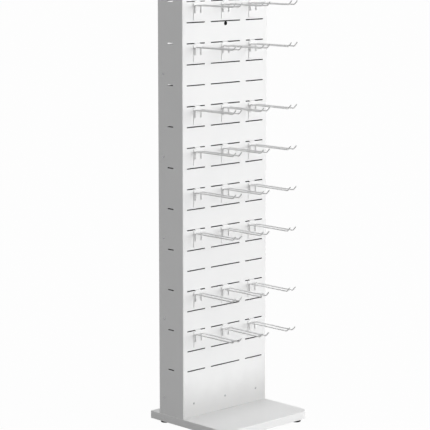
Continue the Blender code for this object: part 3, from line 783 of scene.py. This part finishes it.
def make_lid():
    """The flat lid with a skirt that drops inside the column."""
    low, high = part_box("top_cap")
    under = high.z - SHEET
    foot = under - CAP_SKIRT
    edge = LID_EDGE_RADIUS
    outer = SHEET + 2 * GAP
    inner = outer + SHEET
    stations = [(edge + SUPPORT, high.z)]
    stations += rounded_edge(edge, high.z - edge, edge, 90.0, 180.0)
    stations += [(0.0, under), (outer, under), (outer, foot), (inner, foot), (inner, under)]
    rings = tray_rings(low, high, FOLD_RADIUS, LEAST_RADIUS, stations)
    mesh = softened(new_mesh("column_lid", *closed_loft(rings)))
    return add_piece("column_lid", mesh, "rack", "white_powder_coat", "top_cap")


lid = make_lid()
print("lid", len(lid.data.polygons), "faces")

# %% [markdown]
# ## The hooks
#
# A hook is one folded strip of steel with two bent wires welded to it. The strip is a plate that narrows to
# a neck, bends back into the slot, goes through the sheet and turns up behind it. It is drawn as a bent path
# with a half width at each point. A wire is a ring of points carried along its path, and its radius runs out
# at both ends like a ball, so that no raw cut shows. One hook is joined by a Boolean, and its points are
# then moved to each place, because twenty-four separate unions would only take longer.

# %% Hook sizes
PLATE_HALF_WIDTH = 0.020
PLATE_BOTTOM = -0.062
PLATE_SHOULDER = -0.005
PLATE_THICKNESS = 0.0015
PLATE_CORNER = 0.003
SHOULDER_CORNER = 0.0015
NECK_HALF_WIDTH = 0.01225
TAB_HALF_WIDTH = 0.0120
TAB_RISE = 0.011
TAB_BEHIND_SHEET = 0.0006
NECK_BEND_RADIUS = 0.0010
TAB_BEND_RADIUS = 0.00105
WIRE_RADIUS = 0.0022
WIRE_WELD = 0.0004
WIRE_SIDES = 24
PRONG_HALF_SPACING = 0.0138
LEG_BOTTOM = -0.0395
ARM_LEVEL = -0.0130
ARM_BEND_RADIUS = 0.006
ARM_REACH = 0.180
TIP_BEND_RADIUS = 0.012
TIP_ANGLE = 45.0
TIP_STRAIGHT = 0.0155
BEND_STEPS = 10
END_STEPS = 6
HOOK_EDGE = 0.0003


# %% The folded strip
def corner_steps(radius):
    """Distances from a corner's edge and the width lost there, along a quarter circle."""
    angle = np.linspace(0.0, math.pi / 2, END_STEPS + 1)
    return radius * (1.0 - np.cos(angle)), radius * (1.0 - np.sin(angle))


def box_strip(path, halves, thickness):
    """A strip of given half widths along a path of (y, z) points, as a loft of rings square to the path.
    Each ring is a rectangle about its path point, half the thickness to each side, with cut corners."""
    tangent = np.gradient(path, axis=0)
    tangent /= np.linalg.norm(tangent, axis=1)[:, None]
    normal = np.stack([tangent[:, 1], -tangent[:, 0]], axis=-1)
    face = thickness / 2
    edge = face - HOOK_EDGE
    lift = np.array((-face, -face, -edge, edge, face, face, edge, -edge))
    inset = HOOK_EDGE * (np.abs(lift) > edge)
    side = np.array((-1, 1, 1, 1, 1, -1, -1, -1)) * (halves[:, None] - inset)
    place = path[:, None, :] + lift[None, :, None] * normal[:, None, :]
    return np.concatenate([side[..., None], place], axis=-1)


def arc_points(centre, radius, start, end, steps):
    """Points on an arc about a centre, angles in degrees."""
    angle = np.radians(np.linspace(start, end, steps + 1))
    return np.stack([centre[0] + radius * np.cos(angle), centre[1] + radius * np.sin(angle)], axis=-1)


def strip_path():
    """The folded strip from its foot up, as (y, z) points and half widths: plate, shoulders, neck, a bend
    back into the slot, through the sheet, and a bend up behind it."""
    foot_rise, foot_loss = corner_steps(PLATE_CORNER)
    shoulder_rise, shoulder_loss = corner_steps(SHOULDER_CORNER)
    plate = -GAP - PLATE_THICKNESS / 2
    level = GAP - SLOT_HEIGHT / 2 + PLATE_THICKNESS / 2
    behind = SHEET + TAB_BEHIND_SHEET + PLATE_THICKNESS / 2
    heights = np.concatenate([
        PLATE_BOTTOM + foot_rise,
        PLATE_SHOULDER - shoulder_rise[::-1],
        [PLATE_SHOULDER + HOOK_EDGE],
    ])
    halves = np.concatenate([
        PLATE_HALF_WIDTH - foot_loss,
        PLATE_HALF_WIDTH - shoulder_loss[::-1],
        [NECK_HALF_WIDTH],
    ])
    flat = np.stack([np.full(len(heights), plate), heights], axis=-1)
    neck_centre = (plate + NECK_BEND_RADIUS, level - NECK_BEND_RADIUS)
    neck = arc_points(neck_centre, NECK_BEND_RADIUS, 180.0, 90.0, BEND_STEPS)
    tab_centre = (behind - TAB_BEND_RADIUS, level + TAB_BEND_RADIUS)
    tab = arc_points(tab_centre, TAB_BEND_RADIUS, 270.0, 360.0, BEND_STEPS)
    narrow = np.full(len(neck) + len(tab) + 1, TAB_HALF_WIDTH)
    narrow[: len(neck)] = NECK_HALF_WIDTH
    return np.concatenate([flat, neck, tab, [(behind, TAB_RISE)]]), np.concatenate([halves, narrow])


# %% The wires
def wire_rings(path, radius):
    """Rings of points square to a path in the YZ plane; near both ends the radius falls as a ball's does."""
    length = np.concatenate([[0.0], np.cumsum(np.linalg.norm(np.diff(path, axis=0), axis=1))])
    left = np.minimum(length, length[-1] - length)
    short = np.clip(1.0 - left / radius, 0.0, 1.0)
    size = radius * np.sqrt(np.clip(1.0 - short * short, 0.0, None)) + MERGE_DISTANCE
    tangent = np.gradient(path, length, axis=0)
    tangent /= np.linalg.norm(tangent, axis=1)[:, None]
    normal = np.stack([-tangent[:, 1], tangent[:, 0]], axis=-1)
    angle = np.linspace(0.0, 2.0 * math.pi, WIRE_SIDES, endpoint=False)
    side = size[:, None] * np.cos(angle)
    rise = size[:, None] * np.sin(angle)
    place = path[:, None, :] + rise[..., None] * normal[:, None, :]
    return np.concatenate([side[..., None], place], axis=-1)


def ball_steps(start, end, radius):
    """Points from an end of a straight stretch inwards, spaced as a ball's rings are."""
    start, end = np.array(start), np.array(end)
    direction = (end - start) / np.linalg.norm(end - start)
    step = radius * (1.0 - np.cos(np.linspace(0.0, math.pi / 2, END_STEPS + 1)))
    return start + step[:, None] * direction


def prong_path():
    """Leg up the plate, bend, arm forwards, bend, turned-up tip, as (y, z) points."""
    leg = -GAP - PLATE_THICKNESS - WIRE_RADIUS + WIRE_WELD
    arm_centre = (leg - ARM_BEND_RADIUS, ARM_LEVEL - ARM_BEND_RADIUS)
    arm_bend = arc_points(arm_centre, ARM_BEND_RADIUS, 0.0, 90.0, BEND_STEPS)
    tip_centre = (-ARM_REACH, ARM_LEVEL + TIP_BEND_RADIUS)
    tip_bend = arc_points(tip_centre, TIP_BEND_RADIUS, 270.0, 270.0 - TIP_ANGLE, BEND_STEPS)
    turn = math.radians(TIP_ANGLE)
    end = tip_bend[-1] + TIP_STRAIGHT * np.array((-math.cos(turn), math.sin(turn)))
    leg_end = ball_steps((leg, LEG_BOTTOM), arm_bend[0], WIRE_RADIUS)
    tip_end = ball_steps(end, tip_bend[-1], WIRE_RADIUS)[::-1]
    return np.concatenate([leg_end, arm_bend, tip_bend, tip_end])


def moved(shape, offset):
    """A (points, faces) shape moved by an offset."""
    points, faces = shape
    return points + np.array(offset), faces


# %% One hook, then all of them
def make_hook_mesh():
    """Strip and both wires joined into one closed surface, with its origin in the slot's middle."""
    prong = closed_loft(wire_rings(prong_path(), WIRE_RADIUS))
    prongs = [moved(prong, (side * PRONG_HALF_SPACING, 0.0, 0.0)) for side in (-1, 1)]
    wires = cutter("hook_wires", *joined(*prongs))
    strip = new_mesh("wire_hook", *closed_loft(box_strip(*strip_path(), PLATE_THICKNESS)))
    mesh = baked(strip, ("BOOLEAN", {"operation": "UNION", "solver": "EXACT", "object": wires}))
    bpy.data.objects.remove(wires)
    return mesh


def moved_copy(mesh, name, offset):
    """A copy of a mesh with all its points moved, in one array."""
    copy = mesh.copy()
    copy.name = name
    points = np.empty(len(copy.vertices) * 3, np.float32)
    copy.vertices.foreach_get("co", points)
    points = points.reshape(-1, 3) + np.array(offset, np.float32)
    copy.vertices.foreach_set("co", points.ravel())
    copy.update()
    return copy


hook_mesh = make_hook_mesh()
hook_nodes = nodes_named("hook_")
for node in hook_nodes:
    low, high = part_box(node)
    place = ((low.x + high.x) / 2, shell_low.y, high.z - TAB_RISE)
    add_piece(f"wire_{node}", moved_copy(hook_mesh, f"wire_{node}", place), node, "white_hook_coat", node)
print(len(hook_nodes), "hooks of", len(hook_mesh.polygons), "faces")

# %% [markdown]
# ## Screws and plug
#
# Button-head screws hold the column's foot and the back panel. The head is a set of rings: the floor of the
# hexagon socket, its wall, and a low dome out to the rim. A hexagon in polar form is its half width divided
# by the cosine of the angle from the nearest flat's middle. A Boolean could cut the socket too, but rings
# leave no stray triangles on so small a head. The plug is a plain turned dome.

# %% Screw shape
SCREW_HEAD_RADIUS = 0.0040
SCREW_HEAD_HEIGHT = 0.0020
SCREW_RIM = 0.0004
SCREW_SHANK_RADIUS = 0.0022
SCREW_LENGTH = 0.0075
SCREW_POINT = 0.0006
SOCKET_HALF = 0.0011
SOCKET_DEPTH = 0.0010
SCREW_STEPS = 36
DOME_STEPS = 7


def screw_shape():
    """A screw along Z with its seat at z = 0. The dome's height falls with the square of the radius."""
    angle = np.linspace(0.0, 2.0 * math.pi, SCREW_STEPS, endpoint=False)
    sixth = math.pi / 3
    socket = SOCKET_HALF / np.cos((angle + sixth / 2) % sixth - sixth / 2)
    share = np.linspace(0.0, 1.0, DOME_STEPS + 1)[:, None]
    radius = socket + share * (SCREW_HEAD_RADIUS - socket)
    dome = SCREW_RIM + (SCREW_HEAD_HEIGHT - SCREW_RIM) * (1.0 - (radius / SCREW_HEAD_RADIUS) ** 2)
    floor = np.full((1, SCREW_STEPS), SCREW_HEAD_HEIGHT - SOCKET_DEPTH)
    below = np.array((
        (SCREW_HEAD_RADIUS, 0.0),
        (SCREW_SHANK_RADIUS, 0.0),
        (SCREW_SHANK_RADIUS, SCREW_POINT - SCREW_LENGTH),
        (SCREW_SHANK_RADIUS - SCREW_POINT, -SCREW_LENGTH),
    ))
    radius = np.concatenate([socket[None, :], radius, np.repeat(below[:, :1], SCREW_STEPS, axis=1)])
    height = np.concatenate([floor, dome, np.repeat(below[:, 1:], SCREW_STEPS, axis=1)])
    return closed_loft(np.stack([radius * np.cos(angle), radius * np.sin(angle), height], axis=-1))


# %% Place the screws
FACING = {
    "front": np.array(((1, 0, 0), (0, 0, -1), (0, 1, 0))),
    "left": np.array(((0, 0, -1), (0, 1, 0), (1, 0, 0))),
    "right": np.array(((0, 0, 1), (0, 1, 0), (-1, 0, 0))),
}


def seat_of(node, facing):
    """Where a screw's head meets the sheet: the middle of its box, on the sheet's outer face."""
    seat = middle_of(node)
    if facing == "front":
        seat.y = shell_low.y - GAP
    else:
        seat.x = math.copysign(shell_high.x + GAP, seat.x)
    return np.array(seat)


screw_points, screw_faces = screw_shape()
for node in front_screws + side_screws:
    facing = "front" if node in front_screws else node.split("_")[2]
    points = screw_points @ FACING[facing].T + seat_of(node, facing)
    mesh = softened(new_mesh(f"button_{node}", points, screw_faces))
    add_piece(f"button_{node}", mesh, "rack", "zinc_plate", node)
print(len(front_screws + side_screws), "screws of", len(screw_faces), "faces")

# %% The plug
PLUG_RADIUS = 0.0068
PLUG_STEM_RADIUS = 0.0048
PLUG_DOME = 0.0022
PLUG_STEM = 0.006
PLUG_RIM = 0.0004
PLUG_STEPS = 40


def make_plug():
    """A low dome, an ellipse turned about its axis, with a stem behind it."""
    angle = np.linspace(math.pi / 2, 0.0, DOME_STEPS + 1)[1:]
    dome = zip(PLUG_RADIUS * np.cos(angle), PLUG_RIM + (PLUG_DOME - PLUG_RIM) * np.sin(angle))
    stations = [*dome, (PLUG_RADIUS, 0.0), (PLUG_STEM_RADIUS, 0.0), (PLUG_STEM_RADIUS, -PLUG_STEM)]
    points, faces = closed_loft(circle_rings((0.0, 0.0), stations, PLUG_STEPS))
    points = points @ FACING["front"].T + seat_of("front_plug", "front")
    mesh = softened(new_mesh("dome_plug", points, faces))
    return add_piece("dome_plug", mesh, "rack", "plug_black", "front_plug")


plug = make_plug()
print("plug", len(plug.data.polygons), "faces")

# %% [markdown]
# ## Feet and what is under the base
#
# The feet are turned rubber pads with a rounded edge and a groove, pushed into the floor frame's arms. A
# Screw modifier could turn them as well; rings are used because they close without a seam. The frame, the
# ball bearing and the bolts keep their CAD shapes, which are right, and only get their finish.

# %% Rubber feet
FOOT_RADIUS = 0.016
FOOT_EDGE = 0.0014
FOOT_TOP_EDGE = 0.0006
FOOT_STEM_RADIUS = 0.004
FOOT_GROOVE = 0.0006
FOOT_STEPS = 48
foot_nodes = nodes_named("foot_pad_")


def make_foot(node):
    """A pad from its stem down: top, groove round the side, rounded lower edge, flat sole."""
    low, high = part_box(node)
    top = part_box("floor_frame")[0].z - GAP
    middle = (top + low.z) / 2
    stations = [(FOOT_STEM_RADIUS, high.z), (FOOT_STEM_RADIUS, top), (FOOT_RADIUS - FOOT_TOP_EDGE, top)]
    stations += [(FOOT_RADIUS, top - FOOT_TOP_EDGE), (FOOT_RADIUS, middle + 2 * FOOT_GROOVE)]
    stations += [(FOOT_RADIUS - FOOT_GROOVE, middle + FOOT_GROOVE), (FOOT_RADIUS, middle)]
    arc = arc_points((FOOT_RADIUS - FOOT_EDGE, low.z + FOOT_EDGE), FOOT_EDGE, 0.0, -90.0, EDGE_STEPS)
    stations += [tuple(point) for point in arc]
    shape = closed_loft(circle_rings(middle_of(node), stations, FOOT_STEPS))
    mesh = softened(new_mesh(f"rubber_{node}", *shape))
    return add_piece(f"rubber_{node}", mesh, "floor_frame", "foot_rubber", node)


for node in foot_nodes:
    make_foot(node)
print(len(foot_nodes), "feet")

# %% Finishes for the CAD pieces that stay
slot_of = {part["node"]: part["material_slot"] for part in frame["record"]["subparts"]}
staying = [node for node, piece in frame["nodes"].items() if not piece.hide_render]
for node in staying:
    piece = frame["nodes"][node]
    piece.data.materials.clear()
    piece.data.materials.append(finishes[slot_of[node]])
print("CAD pieces kept", sorted(staying))

# %% [markdown]
# ## Floor, light and camera
#
# The picture is a plain studio shot on white. One wide lamp, low and far away, lights the front from the
# right, and a sky that is brighter overhead fills the shaded side. The floor is white to the camera, but
# part of its own lit surface is mixed in, so that it keeps the rack's shadow. The camera is a long lens from
# the left, a little above.

# %% Floor and sky
FLOOR_HALF = 30.0
FLOOR_PALE = (0.50, 0.50, 0.50, 1.0)
FLOOR_GLOW = 0.975
SKY_HORIZON = 0.06
SKY_ZENITH = 0.84


def seen_straight(tree):
    """One where a ray comes from the camera, a mirror or glass, and zero for light between surfaces."""
    path = tree.nodes.new("ShaderNodeLightPath")
    direct = add_math(tree, "MAXIMUM", path.outputs["Is Camera Ray"], path.outputs["Is Glossy Ray"])
    return add_math(tree, "MAXIMUM", direct, path.outputs["Is Transmission Ray"])


def make_floor():
    """A wide flat floor under the rack."""
    corners = FLOOR_HALF * np.array(((-1, -1, 0), (1, -1, 0), (1, 1, 0), (-1, 1, 0)))
    mesh = new_mesh("studio_floor", corners, [[0, 1, 2, 3]], closed=False)
    floor = bpy.data.objects.new("studio_floor", mesh)
    scene.collection.objects.link(floor)
    material = bpy.data.materials.new("studio_floor_white")
    material.use_nodes = True
    tree = material.node_tree
    shader = tree.nodes["Principled BSDF"]
    shader.inputs["Base Color"].default_value = FLOOR_PALE
    shader.inputs["Roughness"].default_value = 1.0
    shader.inputs["Specular IOR Level"].default_value = 0.0
    glow = tree.nodes.new("ShaderNodeEmission")
    mix = tree.nodes.new("ShaderNodeMixShader")
    tree.links.new(add_math(tree, "MULTIPLY", seen_straight(tree), FLOOR_GLOW), mix.inputs["Fac"])
    tree.links.new(shader.outputs["BSDF"], mix.inputs[1])
    tree.links.new(glow.outputs["Emission"], mix.inputs[2])
    tree.links.new(mix.outputs["Shader"], tree.nodes["Material Output"].inputs["Surface"])
    mesh.materials.append(material)


def make_sky():
    """White where it is looked at. As a light it grows from the horizon to the zenith with the height of the
    direction, so that upright faces get less of it than level ones."""
    world = bpy.data.worlds.new("studio_sky")
    scene.world = world
    world.use_nodes = True
    tree = world.node_tree
    background = tree.nodes["Background"]
    background.inputs["Color"].default_value = (1.0, 1.0, 1.0, 1.0)
    place = tree.nodes.new("ShaderNodeTexCoord")
    parts = tree.nodes.new("ShaderNodeSeparateXYZ")
    tree.links.new(place.outputs["Object"], parts.inputs["Vector"])
    rise = tree.nodes.new("ShaderNodeMapRange")
    rise.inputs["To Min"].default_value = SKY_HORIZON
    rise.inputs["To Max"].default_value = SKY_ZENITH
    tree.links.new(parts.outputs["Z"], rise.inputs["Value"])
    spread = tree.nodes.new("ShaderNodeMapRange")
    spread.inputs["To Max"].default_value = 1.0
    tree.links.new(rise.outputs["Result"], spread.inputs["To Min"])
    tree.links.new(seen_straight(tree), spread.inputs["Value"])
    tree.links.new(spread.outputs["Result"], background.inputs["Strength"])


make_floor()
make_sky()
print("sky strength from", SKY_HORIZON, "to", SKY_ZENITH)

# %% The lamp
LAMP_TOWARDS = Vector((0.48, -0.77, 0.12))
LAMP_ANGLE = math.radians(45.0)


def make_lamp():
    """A lamp so far away that its light is even from foot to head, and so wide that shadows stay soft. A
    white surface that faces it is lit to the length of LAMP_TOWARDS when its strength is pi times that."""
    light = bpy.data.lights.new("soft_lamp", "SUN")
    light.angle = LAMP_ANGLE
    light.energy = math.pi * LAMP_TOWARDS.length
    lamp = bpy.data.objects.new("soft_lamp", light)
    scene.collection.objects.link(lamp)
    lamp.rotation_euler = (-LAMP_TOWARDS).to_track_quat("-Z", "Y").to_euler()
    return light


lamp = make_lamp()
print("lamp strength", round(lamp.energy, 2))

# %% The camera
CAMERA_PLACE = (-4.2837, -4.3944, 1.7349)
CAMERA_HEADING = math.radians(43.775)
CAMERA_DOWN = math.radians(9.3095)
CAMERA_LENS = 151.65
CAMERA_SENSOR = 36.0


def make_camera():
    """A long lens, aimed by its heading from +Y towards +X and its angle below the horizon."""
    data = bpy.data.cameras.new("camera")
    data.lens = CAMERA_LENS
    data.sensor_width = CAMERA_SENSOR
    camera = bpy.data.objects.new("camera", data)
    scene.collection.objects.link(camera)
    camera.location = CAMERA_PLACE
    level = math.cos(CAMERA_DOWN)
    right = math.sin(CAMERA_HEADING) * level
    ahead = math.cos(CAMERA_HEADING) * level
    aim = Vector((right, ahead, -math.sin(CAMERA_DOWN)))
    camera.rotation_euler = aim.to_track_quat("-Z", "Y").to_euler()
    scene.camera = camera


make_camera()
scene.view_settings.view_transform = "Standard"
print("camera at", CAMERA_PLACE)
